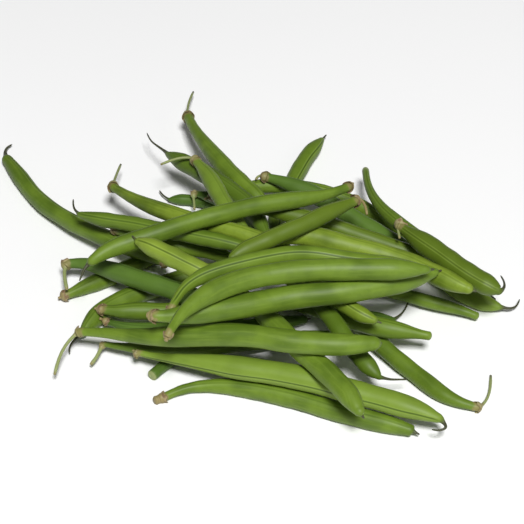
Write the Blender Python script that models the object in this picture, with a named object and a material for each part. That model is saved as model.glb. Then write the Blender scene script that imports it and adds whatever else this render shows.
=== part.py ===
"""A heap of fresh green beans, as picked: each bean is one solid, with its stalk, cap, pod and tail.

The routes are drawn as the viewer sees them, in millimetres in the plane that faces the viewer
through the middle of the heap, x to the right and y up. Each bean is then laid, along the viewer's
lines of sight, on the surface and on the beans before it in the list.
"""

import math
from dataclasses import dataclass, field

import bmesh
import bpy
import numpy as np
from mathutils import Vector

HEAP_NAME = "green_bean_heap"
METRES = 0.001
WELD = 0.0001

# The view that the routes are drawn in, millimetres and degrees
VIEW_DOWN_DEG = 40.0
VIEW_DISTANCE = 800.0
VIEW_HEIGHT = 15.0

# How beans lie, millimetres
GAP = 0.3
FLOOR_GAP = 0.05
SAMPLE_STEP = 1.0
ROUTE_STEP = 0.5
STIFFNESS = 5.0
THIN_STIFFNESS = 1.0
BEND_RADIUS = 160.0
PRESSED = 0.25

# Counts and shares used while laying: evening passes, samples that give an end's direction
EVENING = 4
LEAD = 4
WHOLE = 0.999
HELD_SHARE = 0.2

# The section of a pod, as shares of its half width, from the seam round
SECTION = (1.0, 0.975, 0.95, 0.965, 0.985, 0.965, 0.95, 0.975)
LOW_SIDE_TURN = math.radians(22.5)

# Rings along a pod, as shares of its length, and how far the seeds swell each of them
POD_STATIONS = (0.0, 0.035, 0.09, 0.16, 0.24, 0.33, 0.42, 0.51, 0.60, 0.69, 0.78, 0.86, 0.93, 0.98, 1.0)
SWELL = 0.025
NECK_RUN = 0.25
TIP_RUN = 0.16

# The stalk, the cap on the pod's neck and the tail, millimetres
STALK_WIDTH = 1.1
STALK_FLARE = 1.1
STUB = 1.6
CAP_LENGTH = 1.6
CAP_RIM = 0.35
CAP_STEP = 0.175
CAP_CROWN = 0.75
CAP_STATIONS = (1.15, 0.85, 0.25)
TAIL_ROOT = 0.60
TAIL_WIDTH = 0.65
TAIL_STUB = 2.5
TAIL_STATIONS = (0.12, 0.4, 0.7, 1.0)
TAIL_TAPER = (1.0, 0.4, 0.14, 0.0)

# The rounded end of a bean that is cut off, millimetres, then shares of that and of the neck
CUT_LENGTH = 1.2
CUT_STATIONS = (1.0, 0.85, 0.6, 0.4, 0.2)
CUT_ROUNDING = (0.45, 0.75, 0.93, 0.98, 1.0)

# Pod colours, linear red, green and blue
GREENS = {"bright": (0.16, 0.31, 0.035), "mid": (0.13, 0.27, 0.030), "dark": (0.08, 0.19, 0.040)}
ROUGHNESS = 0.42


@dataclass
class Bean:
    """One bean: widths and places in millimetres, the seam in degrees from the viewer to its upper edge.

    The twist is how far the seam turns on from the stalk end to the tail end. The taper is the
    share of the pod over which it widens from its neck.
    """

    width: float
    neck: float
    tip: float
    seam: float
    pod: list
    stalk: list = field(default_factory=list)
    tail: list = field(default_factory=list)
    low: bool = False
    cut: bool = False
    twist: float = 0.0
    stem: float = STALK_WIDTH
    taper: float = NECK_RUN
    tone: str = "mid"


# From the bottom of the heap to the top
BEANS = (
    Bean(
        width=5.3, neck=4.4, tip=2.4, seam=30, low=True, cut=True, tone="dark",
        pod=[(-43.5, -45), (-39, -41), (-27, -33), (-15, -25), (-5.5, -19)],
    ),
    Bean(
        width=5.6, neck=2.4, tip=2, seam=30, stem=1.4, low=True,
        pod=[(-63.5, -33), (-51, -34.5), (-25, -35), (7, -31.5), (27, -28.5)],
        stalk=[(-64.5, -34.5), (-66, -38), (-68.5, -41)],
    ),
    Bean(
        width=8, neck=3.5, tip=4.3, seam=40, taper=0.42, stem=3.4, low=True,
        pod=[(-39, -54), (-33, -51), (-25, -49.5), (-17, -49.5), (-9, -50), (-1, -51.5),
            (7, -53), (15, -55), (23, -57.5), (31, -60), (39, -62), (47, -64), (55, -66),
            (60, -67.5)],
        stalk=[(-41.5, -55), (-43, -55.5)],
        tail=[(63, -69)],
    ),
    Bean(
        width=7.4, neck=3.8, tip=2.1, seam=30, low=True,
        pod=[(-79, -13.5), (-75, -12), (-69, -9), (-63, -7), (-57.5, -4.5), (-49, 0), (-39, 5),
            (-27, 11)],
        stalk=[(-81.5, -14.5)],
    ),
    Bean(
        width=6.2, neck=3.3, tip=2.1, seam=30, tone="dark",
        pod=[(2.5, -15), (15, -16.5), (27, -19), (40.5, -22), (49, -23.5), (52.5, -23)],
        tail=[(55, -21.5), (57, -19.5), (58.5, -16)],
    ),
    Bean(
        width=7, neck=3.4, tip=2.4, seam=100, taper=0.3, low=True,
        pod=[(86, -58), (79, -56.5), (71, -52.5), (63, -46), (55, -40), (49, -34.5), (41, -27),
            (35, -20.5), (33, -17.5)],
        stalk=[(89, -57), (90.5, -54.5), (91.5, -50.5), (91.5, -45.5)],
    ),
    Bean(
        width=5.4, neck=3.3, tip=2.1, seam=70, cut=True,
        pod=[(85.5, -21.5), (79, -19), (71, -17), (63, -15), (55, -12.5), (41, -9.5), (31, -8),
            (22.5, -7)],
    ),
    Bean(
        width=7.3, neck=3.4, tip=2.9, seam=80,
        pod=[(46.5, 9), (55, 3), (63, -1.5), (71, -6.5), (77, -10.5), (83, -14.5), (89, -16.5),
            (95, -18)],
        tail=[(98.5, -18.5), (101, -19), (102, -17), (103, -15)],
    ),
    Bean(
        width=8.3, neck=3.7, tip=2.9, seam=30,
        pod=[(-7, -1), (-19, -3.5), (-33, -7), (-45, -11), (-53, -14), (-59.5, -17),
            (-65.5, -20.5), (-69, -25), (-72, -28.5)],
        tail=[(-75, -31), (-77, -33.5), (-77, -36.5)],
    ),
    Bean(
        width=7.5, neck=4, tip=2.2, seam=-20,
        pod=[(7, 4.5), (5, 12), (6, 19.5), (9, 26.5), (13, 33), (15, 37.5), (18.5, 43),
            (21.5, 46.5), (24, 49)],
    ),
    Bean(
        width=5.2, neck=3.1, tip=1.7, seam=30, tone="dark",
        pod=[(-4, 12), (-12, 18.5), (-20, 23), (-28, 25), (-37, 25)],
        tail=[(-39.5, 26.5), (-41, 28.5)],
    ),
    Bean(
        width=5.6, neck=2.6, tip=2.2, seam=30, tone="dark",
        pod=[(-27, 27.5), (-20, 26), (-12, 23), (-4, 17), (2.5, 10.5)],
        stalk=[(-27.5, 26), (-27, 23), (-27, 21)],
    ),
    Bean(
        width=6.5, neck=3, tip=2.2, seam=40,
        pod=[(-20, 26), (-11, 28.5), (-3, 30), (5, 31), (15, 30), (23, 28.5), (33, 25.5),
            (41, 21.5), (49, 16.5), (55, 11.5), (61, 6)],
    ),
    Bean(
        width=7.8, neck=4.3, tip=2.7, seam=40, taper=0.5,
        pod=[(-29.5, 58), (-28.5, 55), (-26.5, 52), (-21.5, 45.5), (-16, 39), (-9, 32),
            (-2.5, 26.5), (1.5, 23)],
        stalk=[(-30, 61), (-29, 65), (-27.5, 68)],
    ),
    Bean(
        width=8.2, neck=3.9, tip=2.6, seam=30,
        pod=[(3, 8), (0, 14), (-3, 20), (-7, 24.5), (-13, 29), (-19, 33), (-25, 36.5),
            (-31, 39.5), (-37.5, 43)],
        tail=[(-39.5, 45), (-43, 47), (-45, 49), (-46, 51.5)],
    ),
    Bean(
        width=7.5, neck=4, tip=2.6, seam=30,
        pod=[(-26.5, 40.5), (-23.5, 37.5), (-20.5, 33), (-18, 28.5), (-15, 23), (-10.5, 15),
            (-6, 9), (-1.5, 4)],
        stalk=[(-29, 42.5), (-33, 42), (-37, 40), (-40.5, 39)],
    ),
    Bean(
        width=7.4, neck=3.5, tip=4.8, seam=60, low=True,
        pod=[(-39, -0.5), (-46, 2.5), (-55, 6.5), (-65, 10.5), (-73, 14), (-79, 17.5), (-85, 21),
            (-91, 26), (-96, 33), (-100, 38), (-102, 41)],
        tail=[(-103, 44), (-102, 46), (-100, 47)],
    ),
    Bean(
        width=7, neck=3.8, tip=2.5, seam=40, taper=0.28, tone="bright",
        pod=[(-59.5, 30), (-55, 27), (-49, 24), (-43, 21.5), (-37, 19.5), (-29, 17), (-21, 14.5),
            (-13.5, 13), (-7, 11), (1, 8.5), (9, 5), (14.5, 3)],
        stalk=[(-59.5, 31.5), (-58, 35.5), (-56.5, 39)],
    ),
    Bean(
        width=6.3, neck=4.2, tip=2.1, seam=30,
        pod=[(-58.5, 13), (-54, 11.5), (-45, 9), (-35, 6.5), (-25, 5), (-11, 1.5)],
    ),
    Bean(
        width=6.6, neck=2.9, tip=2.5, seam=10,
        pod=[(0, 4), (-7, 6), (-15, 8), (-23, 9.5), (-30, 11), (-41, 13), (-53, 15.5), (-65, 17),
            (-73, 19)],
        tail=[(-75.5, 21.5), (-75.5, 25)],
    ),
    Bean(
        width=7.5, neck=3.8, tip=2.6, seam=85, tone="dark",
        pod=[(1.5, 34), (9, 32), (19, 28), (29, 22.5), (37, 17), (45, 12.5), (55, 6.5),
            (62.5, 2.5)],
        stalk=[(-1, 35), (-2.5, 33)],
    ),
    Bean(
        width=7.2, neck=3.8, tip=2.1, seam=50, tone="bright",
        pod=[(-5, 22.5), (4, 20.5), (15, 18), (24, 16), (31, 13), (39, 10.5), (49, 7), (61, 3),
            (68, 0.5)],
    ),
    Bean(
        width=7, neck=3.4, tip=1.7, seam=10, taper=0.4, cut=True,
        pod=[(41.5, 36), (41.5, 32), (43, 28.5), (45.5, 24), (49.5, 19.5), (56, 14.5), (65, 7.5),
            (75, 0), (85, -8.5), (91, -13)],
        tail=[(93.5, -15)],
    ),
    Bean(
        width=9, neck=4.1, tip=3.3, seam=0, tone="bright",
        pod=[(55.5, 14), (59, 11.5), (65, 7.5), (71, 3.5), (79, -2.5), (87, -7.5), (95, -11.5)],
        stalk=[(54, 14.5), (54.5, 12.5), (55, 9.5)],
        tail=[(97, -11), (97, -8), (95.5, -5.5)],
    ),
    Bean(
        width=8.7, neck=4.9, tip=3.7, seam=90, twist=-90, tone="bright",
        pod=[(1.5, 9), (9, 10), (17, 11), (25, 9), (33, 6.5), (43, 4.5), (53, 1.5), (63, -2),
            (71, -6), (79, -9.5), (83.5, -11)],
    ),
    Bean(
        width=7.3, neck=3.7, tip=2.4, seam=36,
        pod=[(-64, -19), (-57, -20), (-49, -19.5), (-39, -20), (-29, -20), (-20, -19),
            (-11, -17.5)],
        stalk=[(-67, -18.5)],
    ),
    Bean(
        width=6.1, neck=2.8, tip=3.2, seam=30, tone="dark",
        pod=[(-62, -24), (-57, -25.5), (-49, -27), (-37, -27.5), (-13, -26.5), (7, -24.5),
            (17, -23)],
        stalk=[(-63.5, -23), (-65, -22.5)],
    ),
    Bean(
        width=8.2, neck=4.1, tip=2.9, seam=55, taper=0.35, stem=1.5, tone="dark",
        pod=[(-78, -1), (-75.5, 0), (-73, 0), (-67, -1.5), (-61, -3), (-57, -4.5), (-51, -6.5),
            (-43, -9), (-36, -11), (-23, -16), (-11, -20)],
        stalk=[(-79, -2.5), (-79, -6.5), (-78, -11)],
    ),
    Bean(
        width=7.9, neck=3.6, tip=2.4, seam=40, cut=True,
        pod=[(66.5, -29.5), (55, -27.5), (46.5, -26), (37, -23.5), (27, -20), (15, -16),
            (1, -12.5)],
    ),
    Bean(
        width=7.1, neck=3.2, tip=2.4, seam=100,
        pod=[(15, -6), (17.5, -9), (20.5, -13), (24.5, -18.5), (28.5, -23), (32, -29), (39, -38),
            (43, -42.5), (47, -46)],
        tail=[(51, -47), (55, -47), (58, -47)],
    ),
    Bean(
        width=9.5, neck=2.7, tip=3.1, seam=-60, twist=45, taper=0.36,
        pod=[(-49.5, -36.5), (-41, -38), (-33, -39), (-25, -40), (-17, -41), (-5, -43),
            (7, -44.5), (19, -47), (31, -50.5), (43, -53.5), (55, -57), (65, -60), (71.5, -63)],
        stalk=[(-51, -37), (-51.5, -35)],
        tail=[(74, -65.5), (73.5, -67), (71, -67.5), (68, -67)],
    ),
    Bean(
        width=6.7, neck=3.2, tip=2.8, seam=10, tone="bright",
        pod=[(0, -3), (11, -6), (22.5, -10.5), (31, -15), (35, -18.5), (40, -21.5), (45.5, -23.5)],
    ),
    Bean(
        width=8.5, neck=3.5, tip=3.5, seam=100,
        pod=[(-9, -11), (0, -20), (9, -29), (17, -36.5), (23, -41.5), (29, -47), (35, -53.5),
            (39.5, -60.5)],
    ),
    Bean(
        width=8.8, neck=3.5, tip=5.1, seam=-85, taper=0.4, stem=1.3,
        pod=[(-73, -28), (-65, -28), (-53, -29.5), (-41, -30), (-29, -29.5), (-17, -29),
            (-5, -29), (5, -31), (15, -32), (27, -33), (37, -33), (45.5, -32.5)],
        stalk=[(-75.5, -29.5), (-78.5, -31.5), (-80, -35), (-81.5, -40), (-83, -45)],
    ),
    Bean(
        width=7.5, neck=3.7, tip=3.7, seam=60,
        pod=[(34.5, 30), (27, 27), (19, 25.5), (11, 24.5), (3, 23.5), (-5, 22), (-13, 20),
            (-21, 18), (-29, 16), (-37, 13), (-45, 10.5), (-53, 8), (-60, 5.5), (-65, 3),
            (-68.5, 0)],
        stalk=[(36.5, 31.5)],
        tail=[(-71, -2.5), (-73, -7.5)],
    ),
    Bean(
        width=8.1, neck=3.2, tip=2.8, seam=10, tone="bright",
        pod=[(-3, -15), (-13, -10), (-20, -6), (-26, -3), (-33, 0.5), (-39, 3.5), (-45, 6.5),
            (-50, 8.5)],
        tail=[(-52, 10.5)],
    ),
    Bean(
        width=7, neck=4.1, tip=2.9, seam=65, tone="bright",
        pod=[(37.5, 24.5), (33, 22.5), (27, 20), (21, 17), (15, 14), (9, 12), (3, 9), (-3, 6.5),
            (-9, 4), (-12.5, 1.5)],
        stalk=[(40.5, 25.5), (42, 19)],
    ),
    Bean(
        width=7.2, neck=3.2, tip=2.4, seam=13,
        pod=[(-36.5, -19), (-34, -14), (-30.5, -9), (-25, -6), (-17, -3), (-9, -1), (-1, 1),
            (7, 2.5), (15, 3.5), (23, 3), (29, 1.5), (41, 0), (55, -1.5), (65, -2.5)],
    ),
    Bean(
        width=9.5, neck=4.3, tip=3.1, seam=95, taper=0.2, stem=2.2,
        pod=[(-43.5, -21.5), (-39, -22), (-31, -21), (-25, -20), (-17, -19), (-9, -18),
            (-1, -16.5), (11, -14), (23, -13), (35, -11.5), (47, -9.5), (55, -8), (63, -6),
            (69.5, -4)],
        stalk=[(-46, -21)],
    ),
    Bean(
        width=8.6, neck=3.1, tip=2.7, seam=65, twist=25, stem=1.6,
        pod=[(-37.5, -29), (-36.5, -26.5), (-33, -21.5), (-29, -17.5), (-23, -13.5), (-15, -9.5),
            (-7, -7), (3, -5), (15, -3.5), (27, -3), (39, -3), (51, -3), (66.5, -3)],
        stalk=[(-38.5, -31.5)],
    ),
)


def smooth_route(points, stiffness):
    """The points joined by a line as even as a pod's, sampled every ROUTE_STEP."""
    points = np.array(points, float)
    along = np.concatenate([[0.0], np.cumsum(np.linalg.norm(np.diff(points, axis=0), axis=1))])
    count = max(4, int(along[-1] / ROUTE_STEP))
    even = np.linspace(0.0, along[-1], count)
    line = np.column_stack([np.interp(even, along, points[:, i]) for i in (0, 1)])
    spread = stiffness / ROUTE_STEP
    for _ in range(int(spread * spread)):
        line[1:-1] += 0.5 * (0.5 * (line[:-2] + line[2:]) - line[1:-1])
    return line


def place_along(line, shares):
    """Points at the given shares of a line's length."""
    along = np.concatenate([[0.0], np.cumsum(np.linalg.norm(np.diff(line, axis=0), axis=1))])
    at = np.array(shares) * along[-1]
    return np.column_stack([np.interp(at, along, line[:, i]) for i in (0, 1)])


def run_out(start, before, length):
    """A straight run on from the line before-start."""
    way = (start - before) / np.linalg.norm(start - before)
    return [start, start + way * length]


def pod_radius(bean, share):
    """Half the pod's width at a share of its length."""
    full, neck, tip = bean.width / 2, bean.neck / 2, bean.tip / 2
    if share < bean.taper:
        rise = share / bean.taper
        return neck + (full - neck) * rise * rise * (3 - 2 * rise)
    if share > 1 - TIP_RUN:
        fall = (share - 1 + TIP_RUN) / TIP_RUN
        return tip + (full - tip) * (1 - fall * fall)
    return full


def pod_rings(bean, line):
    """Places and half widths of the pod's rings."""
    places = place_along(line, POD_STATIONS)
    radii = []
    for number, share in enumerate(POD_STATIONS):
        swell = SWELL if number % 2 else -SWELL
        inside = bean.taper <= share <= 1 - TIP_RUN
        radii.append(pod_radius(bean, share) * (1 + swell * inside))
    return list(places), radii


def stalk_rings(bean, line):
    """Places and half widths of the stalk's and the cap's rings, from the stalk's free end to the pod."""
    neck = bean.neck / 2
    if bean.cut:
        reach = np.array(run_out(line[0], line[LEAD], CUT_LENGTH))
        return list(place_along(reach, CUT_STATIONS)), [neck * share for share in CUT_ROUNDING]
    if bean.stalk:
        reach = [line[0], *[np.array(point) for point in bean.stalk]]
    else:
        reach = run_out(line[0], line[LEAD], CAP_LENGTH + STUB)
    reach = smooth_route(reach, THIN_STIFFNESS)
    length = np.linalg.norm(np.diff(reach, axis=0), axis=1).sum()
    cap = CAP_LENGTH / length
    places = place_along(reach, (1.0, (1 + cap) / 2, *[share * cap for share in CAP_STATIONS]))
    thin = bean.stem / 2
    wide = thin * STALK_FLARE
    rim = neck + CAP_RIM
    return list(places), [wide, thin, wide, max(rim * CAP_CROWN, wide + CAP_STEP), rim]


def tail_rings(bean, line):
    """Places and half widths of the tail's rings, from the pod to the free end."""
    if bean.tail:
        reach = [line[-1], *[np.array(point) for point in bean.tail]]
    else:
        reach = run_out(line[-1], line[-1 - LEAD], TAIL_STUB)
    reach = smooth_route(reach, THIN_STIFFNESS)
    places = place_along(reach, TAIL_STATIONS)
    root, thin = bean.tip / 2 * TAIL_ROOT, TAIL_WIDTH / 2
    radii = [thin + (root - thin) * share for share in TAIL_TAPER]
    return list(places), radii


def bean_rings(bean):
    """All ring places as the viewer sees them, their half widths, and where the pod starts and ends."""
    line = smooth_route(bean.pod, STIFFNESS)
    stalk, stalk_radii = stalk_rings(bean, line)
    pod, pod_radii = pod_rings(bean, line)
    tail, tail_radii = tail_rings(bean, line)
    seen = np.array(stalk + pod + tail)
    radii = np.array(stalk_radii + pod_radii + tail_radii)
    return seen, radii, len(stalk), len(stalk) + len(pod)


def view_frame():
    """The viewer's place and the directions right, up and ahead."""
    down = math.radians(VIEW_DOWN_DEG)
    ahead = np.array([0.0, math.cos(down), -math.sin(down)])
    up = np.array([0.0, math.sin(down), math.cos(down)])
    eye = np.array([0.0, 0.0, VIEW_HEIGHT]) - ahead * VIEW_DISTANCE
    return eye, np.array([1.0, 0.0, 0.0]), up, ahead


def sight_lines(seen):
    """Unit directions from the viewer through places in the view plane."""
    _, right, up, ahead = view_frame()
    ways = seen[:, :1] * right + seen[:, 1:] * up + ahead * VIEW_DISTANCE
    return ways / np.linalg.norm(ways, axis=1)[:, None]


class Pile:
    """The beans laid so far, as balls along their middles, and the surface under them."""

    def __init__(self):
        self.balls = np.zeros((0, 3))
        self.radii = np.zeros(0)

    def add(self, balls, radii):
        self.balls = np.vstack([self.balls, balls])
        self.radii = np.concatenate([self.radii, radii])

    def reach(self, ways, radii, low):
        """How far from the viewer balls of these radii get along these lines before they touch."""
        eye = view_frame()[0]
        stand = radii * SECTION[1] - PRESSED if low else radii + FLOOR_GAP
        far = (stand - eye[2]) / ways[:, 2]
        if len(self.radii):
            to_ball = self.balls - eye
            nearest = ways @ to_ball.T
            aside = (to_ball * to_ball).sum(axis=1)[None, :] - nearest * nearest
            apart = radii[:, None] + self.radii[None, :] + GAP
            room = apart * apart - aside
            touch = np.where(room > 0, nearest - np.sqrt(np.maximum(room, 0.0)), np.inf)
            far = np.minimum(far, touch.min(axis=1))
        return far


def shares_between(seen):
    """A matrix that turns values at the rings into values at samples along the bean."""
    rows = []
    for start in range(len(seen) - 1):
        steps = max(2, math.ceil(np.linalg.norm(seen[start + 1] - seen[start]) / SAMPLE_STEP))
        for step in range(steps):
            row = np.zeros(len(seen))
            row[start] = 1 - step / steps
            row[start + 1] = step / steps
            rows.append(row)
    last = np.zeros(len(seen))
    last[-1] = 1.0
    rows.append(last)
    return np.array(rows)


def lay(pile, seen, radii, first, last, low):
    """Heights of the rings: the pod sinks as far as its bend lets it, and its thin ends bend clear."""
    eye = view_frame()[0]
    between = shares_between(seen)
    ways = sight_lines(between @ seen)
    floor = eye[2] + ways[:, 2] * pile.reach(ways, between @ radii, low)
    level = places_at(seen, np.full(len(seen), VIEW_HEIGHT))
    steps = np.linalg.norm(np.diff(level, axis=0), axis=1)
    along = np.concatenate([[0.0], np.cumsum(steps)])
    in_pod = between[:, first:last].sum(axis=1) > WHOLE
    held = (between @ along)[in_pod]
    hang = floor[in_pod][None, :] - (along[:, None] - held[None, :]) ** 2 / (2 * BEND_RADIUS)
    heights = hang.max(axis=1)
    inner = heights[first:last]
    for _ in range(EVENING):
        inner[1:-1] = (inner[:-2] + 2 * inner[1:-1] + inner[2:]) / 4
    heights[first:last] = inner + (floor - between @ heights)[in_pod].max()
    for ring in range(first - 1, -1, -1):
        bend_clear(heights, between, floor, ring, ring + 1)
    for ring in range(last, len(heights)):
        bend_clear(heights, between, floor, ring, ring - 1)
    return heights, between


def places_at(seen, heights):
    """Where sight lines through places in the view plane reach these heights."""
    eye = view_frame()[0]
    ways = sight_lines(seen)
    far = (heights - eye[2]) / ways[:, 2]
    return eye + ways * far[:, None]


def bend_clear(heights, between, floor, ring, inner):
    """Lifts a ring of a thin end until the run up to it is clear."""
    held = (between[:, ring] > HELD_SHARE) & (between[:, ring] + between[:, inner] > WHOLE)
    share = between[held, ring]
    needed = (floor[held] - (1 - share) * heights[inner]) / share
    heights[ring] = max(heights[ring], needed.max())


def seam_tilts(places, bean):
    """The turn of the section at each ring that puts the seam at its angle from the viewer."""
    eye, _, up, _ = view_frame()
    seams = np.radians(np.linspace(bean.seam, bean.seam + bean.twist, len(places)))
    tilts = []
    for number, place in enumerate(places):
        ahead = places[min(number + 1, len(places) - 1)] - places[max(number - 1, 0)]
        ahead = Vector(ahead).normalized()
        above = Vector((0, 0, 1))
        above = (above - ahead * above.dot(ahead)).normalized()
        beside = ahead.cross(above)
        facing = Vector(eye - place)
        facing = (facing - ahead * facing.dot(ahead)).normalized()
        side = ahead.cross(facing)
        side *= math.copysign(1.0, side.dot(Vector(up)))
        way = facing * math.cos(seams[number]) + side * math.sin(seams[number])
        tilts.append(math.atan2(way.dot(beside), way.dot(above)))
    tilts = np.unwrap(tilts)
    if bean.low:
        middle = tilts[len(tilts) // 2]
        side = math.tau / len(SECTION)
        flat = LOW_SIDE_TURN + side * round((middle - LOW_SIDE_TURN) / side)
        tilts = np.full(len(tilts), flat)
    return tilts


def section_curve():
    """The outline that every bean is drawn with, one unit in half width, its seam up."""
    outline = bpy.data.curves.new("pod_section", "CURVE")
    outline.dimensions = "2D"
    spline = outline.splines.new("POLY")
    spline.points.add(len(SECTION) - 1)
    for number, share in enumerate(SECTION):
        angle = math.pi / 2 + math.tau * number / len(SECTION)
        spline.points[number].co = (share * math.cos(angle), share * math.sin(angle), 0, 1)
    spline.use_cyclic_u = True
    return bpy.data.objects.new("pod_section", outline)


def bean_mesh(name, places, radii, tilts, section):
    """The bean as a closed mesh, from a curve through its rings."""
    curve = bpy.data.curves.new(name + "_route", "CURVE")
    curve.dimensions = "3D"
    curve.twist_mode = "Z_UP"
    curve.bevel_mode = "OBJECT"
    curve.bevel_object = section
    curve.use_fill_caps = True
    spline = curve.splines.new("POLY")
    spline.points.add(len(places) - 1)
    for point, place, radius, tilt in zip(spline.points, places, radii, tilts):
        point.co = (*(place * METRES), 1)
        point.radius = radius * METRES
        point.tilt = tilt
    route = bpy.data.objects.new(name + "_route", curve)
    bpy.context.scene.collection.objects.link(route)
    graph = bpy.context.evaluated_depsgraph_get()
    mesh = bpy.data.meshes.new_from_object(route.evaluated_get(graph))
    bpy.data.objects.remove(route)
    mesh.name = name
    bm = bmesh.new()
    bm.from_mesh(mesh)
    bmesh.ops.remove_doubles(bm, verts=bm.verts, dist=WELD * METRES)
    bmesh.ops.recalc_face_normals(bm, faces=bm.faces)
    bm.to_mesh(mesh)
    bm.free()
    return mesh


def press_flat(mesh):
    """Gives a bean that lies on the surface the flat spots it rests on."""
    for vertex in mesh.vertices:
        if vertex.co.z < PRESSED * METRES:
            vertex.co.z = 0.0


def pod_material(name, green):
    """The finish of one bean."""
    material = bpy.data.materials.new(name)
    material.use_nodes = True
    shader = material.node_tree.nodes["Principled BSDF"]
    shader.inputs["Base Color"].default_value = (*green, 1)
    shader.inputs["Roughness"].default_value = ROUGHNESS
    shader.inputs["Metallic"].default_value = 0.0
    return material


def centre_heap(objects):
    """Moves the heap so that the middle of its box is over the origin, on the surface."""
    corners = np.array([vertex.co for item in objects for vertex in item.data.vertices])
    low, high = corners.min(axis=0), corners.max(axis=0)
    shift = Vector((-(low[0] + high[0]) / 2, -(low[1] + high[1]) / 2, -low[2]))
    for item in objects:
        for vertex in item.data.vertices:
            vertex.co += shift


def clear_scene():
    """Removes what the scene holds."""
    for item in list(bpy.data.objects):
        bpy.data.objects.remove(item)


def main():
    clear_scene()
    scene = bpy.context.scene
    heap = bpy.data.collections.new(HEAP_NAME)
    tools = bpy.data.collections.new(HEAP_NAME + "_outlines")
    scene.collection.children.link(heap)
    scene.collection.children.link(tools)
    section = section_curve()
    tools.objects.link(section)
    section.hide_render = True
    section.display_type = "WIRE"
    pile = Pile()
    objects = []
    for number, bean in enumerate(BEANS, start=1):
        name = f"bean_{number:02d}"
        seen, radii, first, last = bean_rings(bean)
        heights, between = lay(pile, seen, radii, first, last, bean.low)
        places = places_at(seen, heights)
        pile.add(between @ places, between @ radii)
        tilts = seam_tilts(places, bean)
        mesh = bean_mesh(name, places, radii, tilts, section)
        if bean.low:
            press_flat(mesh)
        mesh.materials.append(pod_material(name, GREENS[bean.tone]))
        item = bpy.data.objects.new(name, mesh)
        heap.objects.link(item)
        objects.append(item)
    centre_heap(objects)


main()
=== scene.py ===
"""A heap of fresh green beans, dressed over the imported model, on a plain studio floor.

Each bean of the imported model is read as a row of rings. A finer bean is then shaped on the same rings,
with its stalk, ragged cap, seams, seed swellings and dried tail, and stands for that solid.
"""

import logging
import math
from dataclasses import dataclass
from enum import Enum

import bmesh
import bpy
import numpy as np
from mathutils import Matrix, Vector


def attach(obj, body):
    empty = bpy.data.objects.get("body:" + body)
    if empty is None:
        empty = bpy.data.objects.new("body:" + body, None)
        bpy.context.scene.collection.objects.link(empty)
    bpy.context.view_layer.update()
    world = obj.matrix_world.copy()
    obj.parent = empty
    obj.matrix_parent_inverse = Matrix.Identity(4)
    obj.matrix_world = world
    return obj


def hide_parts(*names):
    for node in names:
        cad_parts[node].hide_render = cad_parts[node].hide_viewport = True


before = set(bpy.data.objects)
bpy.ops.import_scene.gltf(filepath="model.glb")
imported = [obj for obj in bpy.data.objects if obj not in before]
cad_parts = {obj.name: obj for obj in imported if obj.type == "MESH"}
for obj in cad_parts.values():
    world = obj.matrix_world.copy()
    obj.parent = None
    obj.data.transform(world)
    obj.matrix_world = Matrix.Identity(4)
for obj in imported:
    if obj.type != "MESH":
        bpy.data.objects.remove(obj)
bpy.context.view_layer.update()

log = logging.getLogger("beans")

MM = 0.001
SEPALS = 5


def sized(amount: float) -> float:
    """Millimetres as metres.

    Args:
        amount: a length in millimetres.

    Returns:
        The length in metres.
    """
    return amount * MM


class Tone(Enum):
    """The three greens of the heap, each named as the record's material slot."""

    BRIGHT = "bean_bright"
    MID = "bean_mid"
    DARK = "bean_dark"


class CapStyle(Enum):
    """How a bean's stalk end looks."""

    LEAFY = "leafy"
    HUSK = "husk"
    CUT = "cut"


@dataclass(frozen=True)
class SkinFinish:
    """Colours of a pod's skin, linear red, green and blue.

    Attributes:
        name: the material's name.
        body: most of the skin.
        light: its paler streaks and patches.
        deep: its darker patches.
        groove_line_and_shade: the darker line along the seam, partly the seam's own colour and partly
            painted shade in its hollow.
        ridge_highlight: the paler lines beside it, painted highlights on the seam's ridges.
        tail: the dried tail.
        stalk: the stalk.
        husk: what has dried at the stalk end.
        roughness: the skin's roughness, which the streaks vary a little.
    """

    name: str
    body: tuple[float, float, float]
    light: tuple[float, float, float]
    deep: tuple[float, float, float]
    # The seam's darker line is partly its own colour and partly painted shade in its hollow; the paler
    # lines beside it are painted highlights on its ridges
    groove_line_and_shade: tuple[float, float, float]
    ridge_highlight: tuple[float, float, float]
    tail: tuple[float, float, float] = (0.055, 0.058, 0.028)
    stalk: tuple[float, float, float] = (0.250, 0.290, 0.110)
    husk: tuple[float, float, float] = (0.255, 0.205, 0.085)
    roughness: float = 0.46


@dataclass(frozen=True)
class CapFinish:
    """Colours of a cap or a cut end, linear red, green and blue.

    Attributes:
        name: the material's name.
        body: most of its surface.
        edge: its darker blotches.
        roughness: its roughness all over.
    """

    name: str
    body: tuple[float, float, float]
    edge: tuple[float, float, float]
    roughness: float = 0.75


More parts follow.
